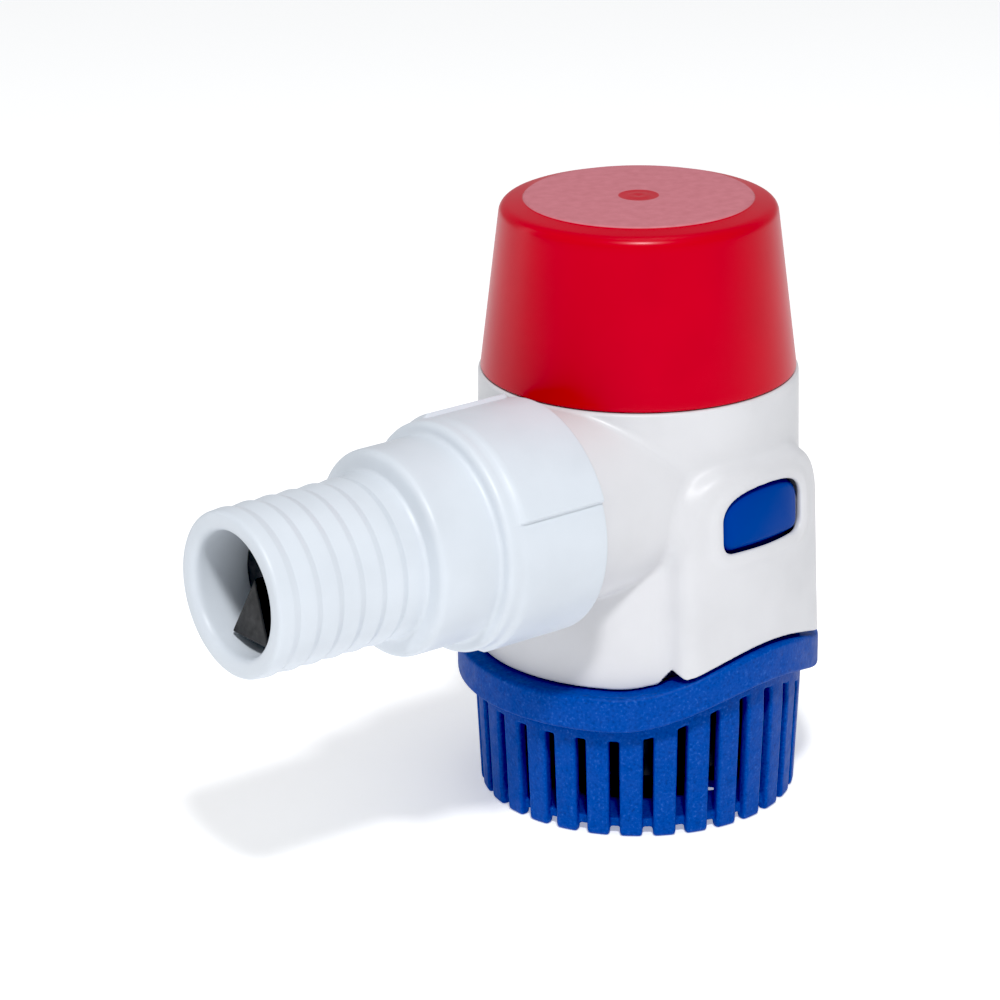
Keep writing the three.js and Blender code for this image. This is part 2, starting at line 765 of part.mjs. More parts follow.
function nozzleProfile() {
  const first = MOUTH_END - 3.3 - BARB_PITCH * BARB_COUNT;
  const profile = [
    [0, COLLAR_START],
    [COLLAR_R - 0.2, COLLAR_START],
    [COLLAR_R - 0.2, COLLAR_END - 3],
    [COLLAR_R - 1, COLLAR_END - 0.8],
    [SHOULDER_R + 0.5, COLLAR_END + 0.4],
    [SHOULDER_R, COLLAR_END + 1.5],
    [SHOULDER_R, SHOULDER_END - 2],
    [SHOULDER_R - 0.8, SHOULDER_END - 0.5],
    [BARB_R, first],
  ];
  for (let i = 0; i < BARB_COUNT; i++) {
    profile.push([BARB_R, first + BARB_PITCH * (i + 0.1)]);
    profile.push([BARB_R - BARB_DEPTH, first + BARB_PITCH * (i + 0.9)]);
  }
  profile.push([BARB_R, MOUTH_END - 2.9]);
  profile.push([BARB_R - 0.3, MOUTH_END - 0.8]);
  profile.push([BARB_R - 1.1, MOUTH_END]);
  profile.push([0, MOUTH_END]);
  return profile;
}

function dischargeFitting() {
  const collar = raised(collarShape(), COLLAR_START, COLLAR_END - 3).rotateZ(TOOTH_TURN);
  const nozzle = turned(nozzleProfile(), MIDDLE_ROUND + 2);
  const outside = solid(alongDischarge(nozzle)).add(solid(alongDischarge(collar)));
  const socket = turned([
    [0, COLLAR_START - 1],
    [SPIGOT_R + GAP, COLLAR_START - 1],
    [SPIGOT_R + GAP, SPIGOT_END + 3.2],
    [NOZZLE_BORE_R, SPIGOT_END + 3.2],
    [NOZZLE_BORE_R, MOUTH_END - LIP_ROUND],
    [NOZZLE_BORE_R + LIP_ROUND * 0.3, MOUTH_END - LIP_ROUND * 0.3],
    [NOZZLE_BORE_R + LIP_ROUND, MOUTH_END],
    [NOZZLE_BORE_R + LIP_ROUND, MOUTH_END + 1],
    [0, MOUTH_END + 1],
  ], MIDDLE_ROUND + 2);
  return outside.subtract(solid(alongDischarge(socket)));
}

function valveRing() {
  const seat = ring(7.6, NOZZLE_BORE_R - FIT, VALVE_SEAT - 3, VALVE_SEAT, MIDDLE_ROUND + 2);
  return alongDischarge(seat);
}

// A rubber flap hung from the top of the seat, with a ridged stiffener on its outer face.
function valveFlap() {
  const near = VALVE_SEAT + GAP;
  const plate = solid(alongDischarge(disc(FLAP_R, near, near + FLAP_THICK, 20)));
  const ridge = new THREE.Shape();
  ridge.moveTo(WEDGE_LOW, -WEDGE_HALF_WIDTH);
  ridge.lineTo(WEDGE_LOW, WEDGE_HALF_WIDTH);
  ridge.lineTo(WEDGE_TOP, 0);
  return plate.add(solid(alongDischarge(raised(ridge, near + 1, near + WEDGE_DEPTH, 1))));
}

// ---------------------------------------------------------------- assembly

const pump = new THREE.Group();

function place(name, shape, material) {
  const geometry = shape instanceof THREE.BufferGeometry ? closedGeometry(shape) : geometryOf(shape);
  const mesh = new THREE.Mesh(geometry, material);
  mesh.name = name;
  pump.add(mesh);
}

place('strainer_base', strainerBase(), MATERIAL.strainerBlue);
place('release_tab_front', releaseTab(bothPods[0]), MATERIAL.buttonBlue);
place('release_tab_back', releaseTab(bothPods[1]), MATERIAL.buttonBlue);
place('pump_housing', housing(), MATERIAL.bodyWhite);
place('impeller_housing', impellerHousing(), MATERIAL.chamberGrey);
place('impeller', impeller(), MATERIAL.impellerGrey);
place('motor_shaft', disc(SHAFT_R, SHAFT_LOW_Z, SHAFT_TOP_Z, SMALL_ROUND), MATERIAL.steel);
place('shaft_seal', shaftSeal(), MATERIAL.rubber);
place('motor_can', motorCan(), MATERIAL.zinc);
place('lower_bearing', bearing(MOTOR_LOW_Z - 1), MATERIAL.bronze);
place('upper_bearing', bearing(CARD_TOP_Z - 1.7), MATERIAL.bronze);
place('lower_thrust_washer', thrustWasher(MOTOR_LOW_Z + 3.4), MATERIAL.nylon);
place('upper_thrust_washer', thrustWasher(101.3), MATERIAL.nylon);
place('magnet_left', magnet(Math.PI), MATERIAL.ferrite);
place('magnet_right', magnet(0), MATERIAL.ferrite);
place('armature_core', armatureCore(), MATERIAL.steel);
place('armature_winding', armatureWinding(), MATERIAL.copper);
place('commutator', commutator(), MATERIAL.copper);
place('brush_card', brushCard(), MATERIAL.card);
place('brush_left', brush(Math.PI), MATERIAL.carbon);
place('brush_right', brush(0), MATERIAL.carbon);
place('brush_arm_left', brushArm(Math.PI), MATERIAL.brass);
place('brush_arm_right', brushArm(0), MATERIAL.brass);
place('motor_end_plate', endPlate(), MATERIAL.zinc);
place('terminal_positive', terminal(Math.PI / 2), MATERIAL.brass);
place('terminal_negative', terminal(-Math.PI / 2), MATERIAL.brass);
place('motor_cap', motorCap(), MATERIAL.capRed);
place('cap_o_ring', torus(26.6, 0.45).translate(0, 0, SEAM_Z + 3), MATERIAL.rubber);
place('wire_gland', wireGland(), MATERIAL.rubber);
place('discharge_fitting', dischargeFitting(), MATERIAL.fittingWhite);
place('port_o_ring', alongDischarge(torus(15, 1.2).translate(0, 0, SPIGOT_END + 1.6)), MATERIAL.rubber);
place('check_valve_seat', valveRing(), MATERIAL.rubber);
place('check_valve_flap', valveFlap(), MATERIAL.rubber);

export default pump;
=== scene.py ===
"""Looks of a submersible bilge pump: white housing, red cap, blue strainer and a screw-on hose fitting.

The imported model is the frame. Shapes are worked out in millimetres and handed to Blender in metres.
"""

import itertools
import math

import bpy
import numpy as np
from mathutils import Matrix, Vector


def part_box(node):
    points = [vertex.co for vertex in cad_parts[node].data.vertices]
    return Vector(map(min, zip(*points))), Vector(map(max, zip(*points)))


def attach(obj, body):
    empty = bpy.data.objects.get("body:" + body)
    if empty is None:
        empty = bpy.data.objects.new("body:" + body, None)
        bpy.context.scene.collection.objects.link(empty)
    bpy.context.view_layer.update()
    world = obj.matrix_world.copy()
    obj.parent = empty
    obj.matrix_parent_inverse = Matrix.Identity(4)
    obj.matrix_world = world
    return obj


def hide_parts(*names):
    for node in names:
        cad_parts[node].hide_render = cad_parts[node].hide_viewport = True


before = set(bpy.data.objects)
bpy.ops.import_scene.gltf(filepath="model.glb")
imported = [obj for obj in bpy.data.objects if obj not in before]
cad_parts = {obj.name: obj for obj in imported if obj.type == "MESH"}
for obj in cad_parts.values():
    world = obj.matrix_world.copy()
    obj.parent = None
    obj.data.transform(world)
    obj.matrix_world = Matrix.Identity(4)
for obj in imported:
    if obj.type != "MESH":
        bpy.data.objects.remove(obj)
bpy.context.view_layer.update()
MM = 0.001


def node_low(node):
    return np.array(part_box(node)[0]) / MM


def node_high(node):
    return np.array(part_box(node)[1]) / MM


# ---------------------------------------------------------------- sizes, in millimetres

HEIGHT = node_high("motor_cap")[2]
CAP_LOW = node_low("motor_cap")[2]
SEAM_Z = CAP_LOW - 0.2
CAP_LOW_R = 29.55
CAP_CORNER_R = 25.7
CAP_TOP_R = 21.1
CAP_WALL = 2.0
MARK_R = 3.0
HOUSING_IN_R = 25.2

POD_ANGLE = math.radians(276.2)
POD_FACE_R = 33.2
POD_HALF_WIDTH = 18.4
POD_TOP_Z = 71.5
POD_CORNER_R = 10.0
WINDOW_Z = 61.8
WINDOW_WIDTH = 20.9
WINDOW_HEIGHT = 11.8
POCKET_IN_R = 26.6
POCKET_OUT_R = 32.3
POCKET_HALF_WIDTH = 11.4
POCKET_TOP_Z = 69.6
TAB_CORNER_R = 5.0

WAVE_RISE = 6.4
WAVE_SPAN = math.radians(55)
RIM_R = 34.5
RIM_LOW_Z = 22.7
RIM_TOP_Z = 29.5
RIM_GAP = 0.5
NOTCH_ACROSS = 18.9
NOTCH_HEIGHT = 2.6
WALL_TAPER_Z = 20.7
WALL_TOP_R = 31.2
WALL_FOOT_R = 30.2
WALL = 2.2
WALL_IN_R = WALL_TOP_R - WALL
SLOT_COUNT = 30
SLOT_WIDTH = 1.9
SLOT_TOP_Z = 19.5
FLOOR_LOW_Z = 1.5
FLOOR_TOP_Z = 3.3

TAB_IN_R = 29.4
TAB_OUT_R = 31.1
TAB_HALF_WIDTH = 9.4
TAB_ROOT_Z = node_low("release_tab_front")[2]
TAB_TOP_Z = node_high("release_tab_front")[2]

PORT_Y = -11.0
PORT_Z = 64.9
BOSS_R = 18.3
BOSS_END = 33.6
SPIGOT_R = 17.0
SPIGOT_END = 50.0
PORT_BORE_R = 12.8
COLLAR_START = -node_high("discharge_fitting")[0]
COLLAR_END = 55.5
COLLAR_R = 21.4
COLLAR_TOOTH = 0.8
COLLAR_TEETH = 4
TOOTH_TURN = math.radians(20)
SHOULDER_R = 18.9
SHOULDER_END = 68.5
BARB_R = 15.2
BARB_DEPTH = 0.42
BARB_PITCH = 4.54
LIP_ROUND = 2.2
BARB_COUNT = 6
MOUTH_END = -node_low("discharge_fitting")[0]
BORE_R = 11.4
VALVE_SEAT = -node_low("check_valve_seat")[0]
FLAP_R = 10.0
WEDGE_LOW = -9.2
WEDGE_TOP = 1.9
WEDGE_DEPTH = 8.2
WEDGE_HALF_WIDTH = 5.6

POT_R = 21.6
POT_IN_R = 19.6
POT_FLOOR_Z = 29.2
GLAND_ANGLE = math.radians(52)
GLAND_Z = 95.0


FLOOR_HALF = 4000
CAMERA_TURN = math.radians(37.74)
CAMERA_TILT = math.radians(19.98)
CAMERA_ROLL = math.radians(-0.59)
CAMERA_AWAY = 735.5
CAMERA_SHIFT = (26.06, 3.61)
AIM_Z = 60


# ---------------------------------------------------------------- meshes from points and faces

def mesh_object(name, points, faces, normals=None):
    """An object from points in millimetres and equal-sided faces, smooth shaded."""
    mesh = bpy.data.meshes.new(name)
    count, sides = faces.shape
    mesh.vertices.add(len(points))
    mesh.vertices.foreach_set("co", (np.asarray(points) * MM).astype(np.float32).ravel())
    mesh.loops.add(count * sides)
    mesh.loops.foreach_set("vertex_index", faces.astype(np.int32).ravel())
    mesh.polygons.add(count)
    mesh.polygons.foreach_set("loop_start", np.arange(0, count * sides, sides, dtype=np.int32))
    mesh.update(calc_edges=True)
    mesh.shade_smooth()
    if normals is not None:
        mesh.normals_split_custom_set_from_vertices(normals)
    piece = bpy.data.objects.new(name, mesh)
    bpy.context.scene.collection.objects.link(piece)
    return piece


def unit(vectors):
    length = np.linalg.norm(vectors, axis=-1, keepdims=True)
    return vectors / np.maximum(length, 1e-9)


def grid_object(name, points):
    """A closed ring-shaped grid of points: the first index goes round, the second follows the profile."""
    around, along = points.shape[:2]
    number = np.arange(around * along).reshape(around, along)
    next_u = np.roll(number, -1, 0)
    faces = np.stack([number, next_u, np.roll(next_u, -1, 1), np.roll(number, -1, 1)], -1).reshape(-1, 4)
    step_u = np.roll(points, -1, 0) - np.roll(points, 1, 0)
    ahead = unit(np.roll(points, -1, 1) - points)
    behind = unit(points - np.roll(points, 1, 1))
    normals = unit(np.cross(step_u, ahead + behind))
    flat = points.reshape(-1, 3)
    corner = flat[faces]
    volume = np.einsum("ij,ij->i", corner[:, 0], np.cross(corner[:, 1], corner[:, 2])).sum()
    if volume < 0:
        faces = faces[:, ::-1]
        normals = -normals
    return mesh_object(name, flat, faces, normals.reshape(-1, 3))


def rounded(corners, spacing=1.2, steps=6):
    """A closed outline through corners given as (a, b, radius), with each corner rounded."""
    spots = np.array([c[:2] for c in corners], float)
    path = []
    for i, (_, _, radius) in enumerate(corners):
        here = spots[i]
        back = spots[i - 1] - here
        ahead = spots[(i + 1) % len(spots)] - here
        reach = min(np.linalg.norm(back), np.linalg.norm(ahead)) * 0.48
        back, ahead = unit(back), unit(ahead)
        half = math.acos(max(-1.0, min(1.0, float(back @ ahead)))) / 2
        cut = min(radius / max(math.tan(half), 1e-6), reach)
        first, last = here + back * cut, here + ahead * cut
        for t in np.linspace(0, 1, steps + 1):
            path.append((1 - t) ** 2 * first + 2 * t * (1 - t) * here + t * t * last)
    full = []
    for a, b in zip(path, path[1:] + path[:1]):
        pieces = max(1, math.ceil(float(np.linalg.norm(b - a)) / spacing))
        full += [a + (b - a) * k / pieces for k in range(pieces)]
    return np.array(full)


def turned(name, corners, around=180, spacing=1.2, steps=6, change=None):
    """A ring turned about +Z from rounded (radius, height) corners; change may adjust radius and height."""
    outline = rounded(corners, spacing, steps)
    angle = np.linspace(0, 2 * math.pi, around, endpoint=False)[:, None]
    radius, height = outline[None, :, 0], outline[None, :, 1]
    if change:
        radius, height = change(angle, radius, height)
    points = np.stack(np.broadcast_arrays(radius * np.cos(angle), radius * np.sin(angle), height), -1)
    return grid_object(name, points)


def along_discharge(piece):
    """Lays a piece turned about +Z onto the discharge axis: heights become distances along -X."""
    turn = Matrix(((0, 0, -1, 0), (0, 1, 0, PORT_Y * MM), (1, 0, 0, PORT_Z * MM), (0, 0, 0, 1)))
    piece.data.transform(turn)
    return piece


# ---------------------------------------------------------------- meshes from distance fields

def join(a, b, r):
    """Union of two fields with a fillet."""
    near = np.maximum(r - np.abs(a - b), 0)
    return np.minimum(a, b) - near * near / (4 * r)


def common(a, b, r):
    return -join(-a, -b, r)


def cut(a, b, r):
    return common(a, -b, r)


def between(value, low, high):
    """Distance outside a band, negative in it."""
    return np.abs(value - (low + high) / 2) - (high - low) / 2


def surface_net(values):
    """Points and quads of the surface where a grid of distances changes sign."""
    inside = values < 0
    shape = np.array(values.shape)
    corners = list(itertools.product((0, 1), repeat=3))
    count = np.zeros(shape - 1, np.int8)
    for i, j, k in corners:
        count += inside[i:shape[0] - 1 + i, j:shape[1] - 1 + j, k:shape[2] - 1 + k]
    mixed = (count > 0) & (count < 8)
    cells = np.argwhere(mixed)
    number = np.full(mixed.shape, -1, np.int64)
    number[mixed] = np.arange(len(cells))
    total = np.zeros((len(cells), 3))
    hits = np.zeros(len(cells))
    quads = []
    for axis in range(3):
        step = np.eye(3, dtype=int)[axis]
        for corner in corners:
            if corner[axis]:
                continue
            a = values[tuple((cells + corner).T)]
            b = values[tuple((cells + corner + step).T)]
            crossing = (a < 0) != (b < 0)
            share = np.where(crossing, a / np.where(crossing, a - b, 1), 0)
            total += crossing[:, None] * (np.array(corner) + share[:, None] * step)
            hits += crossing
        first = np.take(inside, range(shape[axis] - 1), axis)
        second = np.take(inside, range(1, shape[axis]), axis)
        edges = np.argwhere(first != second)
        b_step, c_step = np.eye(3, dtype=int)[(axis + 1) % 3], np.eye(3, dtype=int)[(axis + 2) % 3]
        ring = [edges, edges - b_step, edges - b_step - c_step, edges - c_step]
        quad = np.stack([number[tuple(r.T)] for r in ring], 1)
        leaving = first[tuple(edges.T)]
        quads.append(np.where(leaving[:, None], quad, quad[:, ::-1]))
    quads = np.concatenate(quads)
    return cells + total / hits[:, None], quads[(quads >= 0).all(1)]


def slope(field, points, reach=0.05):
    """Gradient of a field at points."""
    parts = []
    for axis in range(3):
        step = np.eye(3)[axis] * reach
        parts.append(field(*(points + step).T) - field(*(points - step).T))
    return np.stack(parts, -1) / (2 * reach)


def settled(field, points, cell, rounds=3):
    """Points moved onto the surface of a field."""
    for _ in range(rounds):
        grade = slope(field, points)
        size = np.maximum((grade ** 2).sum(1), 0.05)
        move = field(*points.T)[:, None] * grade / size[:, None]
        points = points - np.clip(move, -cell / 2, cell / 2)
    return points


def field_object(name, field, low, high, cell, keep=1.0):
    """The surface of a field; keep below 1 thins the mesh out where it is flat."""
    margin = 1.2 + cell
    axes = [np.arange(a - margin, b + margin, cell, dtype=np.float32) for a, b in zip(low, high)]
    values = field(*np.meshgrid(*axes, indexing="ij", sparse=True))
    values = np.ascontiguousarray(np.broadcast_to(values, [len(a) for a in axes]))
    points, quads = surface_net(values)
    points = points * cell + [float(a[0]) for a in axes]
    points = settled(field, points, cell)
    if keep < 1:
        points, quads = thinned(points, quads, keep)
        points = settled(field, points, cell, 2)
    return mesh_object(name, points, quads, unit(slope(field, points)))


def thinned(points, faces, keep):
    """A mesh with fewer faces, as triangles."""
    rough = mesh_object("rough", points, faces)
    modifier = rough.modifiers.new("thin", "DECIMATE")
    modifier.ratio = keep
    modifier.use_collapse_triangulate = True
    bpy.context.view_layer.update()
    thin = bpy.data.meshes.new_from_object(rough.evaluated_get(bpy.context.evaluated_depsgraph_get()))
    co = np.zeros(len(thin.vertices) * 3, np.float32)
    thin.vertices.foreach_get("co", co)
    corner = np.zeros(len(thin.loops), np.int32)
    thin.loops.foreach_get("vertex_index", corner)
    rough_mesh = rough.data
    bpy.data.objects.remove(rough)
    bpy.data.meshes.remove(rough_mesh)
    bpy.data.meshes.remove(thin)
    return co.reshape(-1, 3) / MM, corner.reshape(-1, 3)


def outline_field(outline, cell=0.1, margin=14.0):
    """Signed distance to a closed outline in two coordinates, as a function that looks it up."""
    outline = np.array(outline, float)
    low, high = outline.min(0) - margin, outline.max(0) + margin
    u = np.arange(low[0], high[0], cell)
    v = np.arange(low[1], high[1], cell)
    grid_u, grid_v = np.meshgrid(u, v, indexing="ij")
    nearest = np.full(grid_u.shape, 1e9)
    inside = np.zeros(grid_u.shape, bool)
    for a, b in zip(outline, np.roll(outline, -1, 0)):
        side = b - a
        share = ((grid_u - a[0]) * side[0] + (grid_v - a[1]) * side[1]) / max(side @ side, 1e-12)
        share = np.clip(share, 0, 1)
        away = (grid_u - a[0] - share * side[0]) ** 2 + (grid_v - a[1] - share * side[1]) ** 2
        nearest = np.minimum(nearest, away)
        if a[1] != b[1]:
            crosses = (grid_v >= min(a[1], b[1])) & (grid_v < max(a[1], b[1]))
            inside ^= crosses & (grid_u < a[0] + (grid_v - a[1]) * side[0] / (b[1] - a[1]))
    table = np.where(inside, -1, 1) * np.sqrt(nearest)

    def look(p, q):
        i = np.clip((p - low[0]) / cell, 0, len(u) - 1.001)
        j = np.clip((q - low[1]) / cell, 0, len(v) - 1.001)
        i0, j0 = i.astype(int), j.astype(int)
        fi, fj = i - i0, j - j0
        near = table[i0, j0] * (1 - fi) + table[i0 + 1, j0] * fi
        far = table[i0, j0 + 1] * (1 - fi) + table[i0 + 1, j0 + 1] * fi
        return near * (1 - fj) + far * fj

    return look


# ---------------------------------------------------------------- shapes shared by housing and strainer

def pod_frame(x, y):
    """Distances across and along the line through both pods, both positive: the pods are alike."""
    across = np.abs(y * math.cos(POD_ANGLE) - x * math.sin(POD_ANGLE))
    along = np.abs(x * math.cos(POD_ANGLE) + y * math.sin(POD_ANGLE))
    return across, along


def wave(across, along):
    """0 away from the pods, rising smoothly to 1 under the middle of each."""
    off = np.minimum(np.arctan2(across, along) / WAVE_SPAN, 1)
    return (1 + np.cos(math.pi * off)) / 2


def arch(across, z, half, top, corner):
    """A flat arch, open below: straight sides and rounded upper corners."""
    p = across - (half - corner)
    q = z - (top - corner)
    return np.hypot(np.maximum(p, 0), np.maximum(q, 0)) + np.minimum(np.maximum(p, q), 0) - corner


def bezier(a, b, c, d, steps=16):
    t = np.linspace(0, 1, steps, endpoint=False)[:, None]
    a, b, c, d = (np.array(p, float) for p in (a, b, c, d))
    return (1 - t) ** 3 * a + 3 * t * (1 - t) ** 2 * b + 3 * t * t * (1 - t) * c + t ** 3 * d


def window_outline():
    """Flat below with round corners, arched above, about its own middle."""
    half, tall = WINDOW_WIDTH / 2, WINDOW_HEIGHT / 2
    low_r = 2.6
    shoulder = -tall + WINDOW_HEIGHT * 0.52
    right = [
        bezier((0, -tall), (3, -tall), (5, -tall), (half - low_r, -tall), 6),
        bezier((half - low_r, -tall), (half - 1, -tall), (half, 1 - tall), (half, low_r - tall), 8),
        bezier((half, low_r - tall), (half, 0), (half, 0), (half, shoulder), 6),
        bezier((half, shoulder), (half, tall - 1.2), (half * 0.55, tall), (0, tall), 20),
    ]
    right = np.concatenate(right)
    left = right[::-1] * [-1, 1]
    return np.concatenate([right, [[0, tall]], left[:-1]])


window = outline_field(window_outline())


# ---------------------------------------------------------------- white housing

def body_radius(z):
    return np.interp(z, [26, 40, 52, 62, 70, 83.3], [31.12, 31.05, 30.85, 30.3, 30.15, 29.95])


def pod_radius(across, along, z):
    side = np.minimum(np.arctan2(across, along) / math.radians(30), 1.3)
    top = np.minimum(z, 66)
    pillow = 0.4 * np.exp(-((window(across, z - WINDOW_Z) - 1.7) / 1.2) ** 2)
    return POD_FACE_R - 0.15 + 1.3 * side ** 2 + 0.035 * (WINDOW_Z - top) + pillow


def housing_shell(x, y, z, radius):
    """The round body with the discharge boss growing out of its side."""
    body = radius - body_radius(z)
    boss = np.hypot(y - PORT_Y, z - PORT_Z) - BOSS_R
    boss = common(boss, -BOSS_END - x, 0.8)
    boss = common(boss, x + 2, 0.5)
    return common(join(body, boss, 0.9), z - SEAM_Z, 0.7)


def pod_solid(x, y, z, radius):
    """The raised, soft-edged shoulder that carries a release window."""
    across, along = pod_frame(x, y)
    lean = 0.012 * (POD_TOP_Z - z)
    outline = arch(across, z, POD_HALF_WIDTH + lean - 0.3, POD_TOP_Z + 0.2, POD_CORNER_R)
    return common(radius - pod_radius(across, along, z), outline, 2.8)


def housing_field(x, y, z):
    across, along = pod_frame(x, y)
    radius = np.hypot(x, y)
    port = np.hypot(y - PORT_Y, z - PORT_Z)
    lift = RIM_TOP_Z + RIM_GAP + WAVE_RISE * wave(across, along)
    overhang = 0.5 * np.clip((radius - 31.4) / 0.8, 0, 1)
    outside = join(housing_shell(x, y, z, radius), pod_solid(x, y, z, radius), 2.4)
    outside = common(outside, lift + overhang - z, 0.5)
    skirt = common(between(radius, HOUSING_IN_R, WALL_IN_R - 0.4), between(z, 26.5, 60), 0.3)
    shape = join(outside, skirt, 0.4)
    lip = common(between(radius, HOUSING_IN_R, 27.1), between(z, SEAM_Z - 3, SEAM_Z + 2), 0.3)
    for outer, low in ((25.9, SEAM_Z), (26.4, SEAM_Z + 4)):
        step = common(between(radius, HOUSING_IN_R, outer), between(z, low, SEAM_Z + 6), 0.2)
        lip = join(lip, step, 0.2)
    shape = join(shape, lip, 0.3)
    spigot = common(port - SPIGOT_R, between(-x, 20, SPIGOT_END), 0.5)
    shape = join(shape, spigot, 0.5)
    behind_pod = np.maximum(arch(across, z, POD_HALF_WIDTH, POD_TOP_Z, POD_CORNER_R), 12 - along)
    chamber = common(radius - 27.8, between(z, 31, SEAM_Z - 3.5), 0.5)
    chamber = np.minimum(cut(chamber, behind_pod, 0.5), radius - HOUSING_IN_R)
    shape = cut(shape, chamber, 0.4)
    half_pocket = arch(across, z, POCKET_HALF_WIDTH, POCKET_TOP_Z, TAB_CORNER_R)
    pocket_in = np.interp(z, [36, 58], [WALL_IN_R - 0.1, POCKET_IN_R])
    pocket = np.maximum(np.maximum(pocket_in - radius, radius - POCKET_OUT_R), half_pocket)
    shape = cut(shape, pocket, 0.3)
    opening = np.maximum(window(across, z - WINDOW_Z), 28 - along)
    shape = cut(shape, opening, 0.6)
    from_pod = np.arctan2(across, along) * WALL_TOP_R
    notch = np.abs(from_pod - NOTCH_ACROSS) - 0.9 * (lift + NOTCH_HEIGHT - z)
    notch = np.maximum(notch, 26 - radius)
    shape = cut(shape, notch, 0.4)
    bore = np.maximum(port - PORT_BORE_R, x + 5)
    shape = cut(shape, bore, 0.5)
    pot = np.maximum(radius - POT_R, between(z, POT_FLOOR_Z, SEAM_Z - 0.5))
    pot = np.minimum(pot, np.maximum(radius - 26, between(z, SEAM_Z - 4, SEAM_Z - 0.5)))
    pot_hollow = np.maximum(radius - POT_IN_R, POT_FLOOR_Z + 2.3 - z)
    pot = cut(cut(pot, pot_hollow, 0.3), radius - 5, 0.3)
    return join(shape, pot, 0.4)


# ---------------------------------------------------------------- blue strainer and release tabs

def strainer_field(x, y, z):
    across, along = pod_frame(x, y)
    radius = np.hypot(x, y)
    rise = wave(across, along)
    level = z - WAVE_RISE * rise
    outer = WALL_FOOT_R + (WALL_TOP_R - WALL_FOOT_R) * np.clip(z / WALL_TAPER_Z, 0, 1)
    inner = WALL_FOOT_R - WALL + (WALL_TOP_R - WALL_FOOT_R) * np.clip(z / WALL_TAPER_Z, 0, 1)
    wall = common(np.maximum(radius - outer, inner - radius), np.maximum(-z, level - RIM_TOP_Z + 0.2), 0.9)
    rim = common(radius - RIM_R, level - RIM_TOP_Z, 1.0)
    rim = common(rim, RIM_LOW_Z - level, 0.8)
    rim = np.maximum(rim, WALL_IN_R - radius)
    shape = join(wall, rim, 0.8)
    turn = np.arctan2(y, x) * SLOT_COUNT / (2 * math.pi)
    turn = turn - np.floor(turn) - 0.5
    side = np.abs(turn) * 2 * math.pi / SLOT_COUNT * radius - SLOT_WIDTH / 2
    slot = common(side, z - SLOT_TOP_Z - WAVE_RISE * rise, 0.35)
    slot = np.maximum(slot, 26 - radius)
    shape = cut(shape, slot, 0.75)
    plate = common(radius - WALL_FOOT_R + 1.2, between(z, FLOOR_LOW_Z, FLOOR_TOP_Z), 0.5)
    shape = join(shape, plate, 0.5)
    shape = join(shape, common(radius - 9, between(z, 0, FLOOR_LOW_Z + 0.5), 0.5), 0.5)
    hole = np.hypot(across, along - 19) - 2.3
    shape = cut(shape, hole, 0.5)
    notch = np.maximum(across - TAB_HALF_WIDTH - 0.3, TAB_ROOT_Z - 0.3 - z)
    notch = np.maximum(notch, radius - TAB_OUT_R - 0.3)
    return cut(shape, notch, 0.3)


def tab_field(x, y, z):
    across, along = pod_frame(x, y)
    radius = np.hypot(x, y)
    arm = common(between(radius, TAB_IN_R, TAB_OUT_R), TAB_ROOT_Z - z, 0.4)
    arm = common(arm, arch(across, z, TAB_HALF_WIDTH, TAB_TOP_Z, TAB_CORNER_R), 0.5)
    face = window(across, z - WINDOW_Z) + 0.3
    dome = pod_radius(across, along, z) - 0.75 + 0.5 * (1 - np.exp(face / 1.6).clip(0, 1))
    button = common(np.maximum(radius - dome, TAB_IN_R + 0.5 - radius), face, 1.5)
    return join(arm, button, 0.5)


# ---------------------------------------------------------------- cap, fitting, valve, gland, chamber

def build_cap():
    corners = [
        (0.02, HEIGHT, 0), (CAP_TOP_R, HEIGHT, 0.15), (CAP_TOP_R + 0.4, HEIGHT - 0.4, 0.25),
        (CAP_CORNER_R, HEIGHT - 1.2, 2.3), (CAP_LOW_R, CAP_LOW, 0.35), (CAP_LOW_R - CAP_WALL, CAP_LOW, 0.3),
        (23.9, 111.8, 1.5), (22.4, HEIGHT - 2.2, 0.6), (0.02, HEIGHT - 2.2, 0),
    ]
    return turned("cap_shell", corners, around=240, spacing=1.0, steps=8, change=gate_mark)


def gate_mark(angle, radius, height):
    """A shallow round moulding mark in the middle of the cap's top."""
    on_top = height > HEIGHT - 0.3
    groove = 0.16 * np.exp(-((radius - MARK_R) / 0.28) ** 2) + 0.14 * np.exp(-(radius / 0.6) ** 2)
    return radius, np.where(on_top, height - groove, height)


def collar_grip(angle, radius, height):
    """Four long grip teeth round the back of the collar, which grow and then drop."""
    share = (TOOTH_TURN - angle) / (2 * math.pi) * COLLAR_TEETH
    share = share - np.floor(share)
    tooth = np.minimum(share, (1 - share) / 0.008 * 0.99).clip(0, 1)
    along = 1 / (1 + np.exp((height - (COLLAR_END - 3.2)) / 0.12))
    outside = (radius > COLLAR_R - 1.2) & (height < COLLAR_END - 0.5)
    return radius + np.where(outside, COLLAR_TOOTH * tooth * along, 0), height


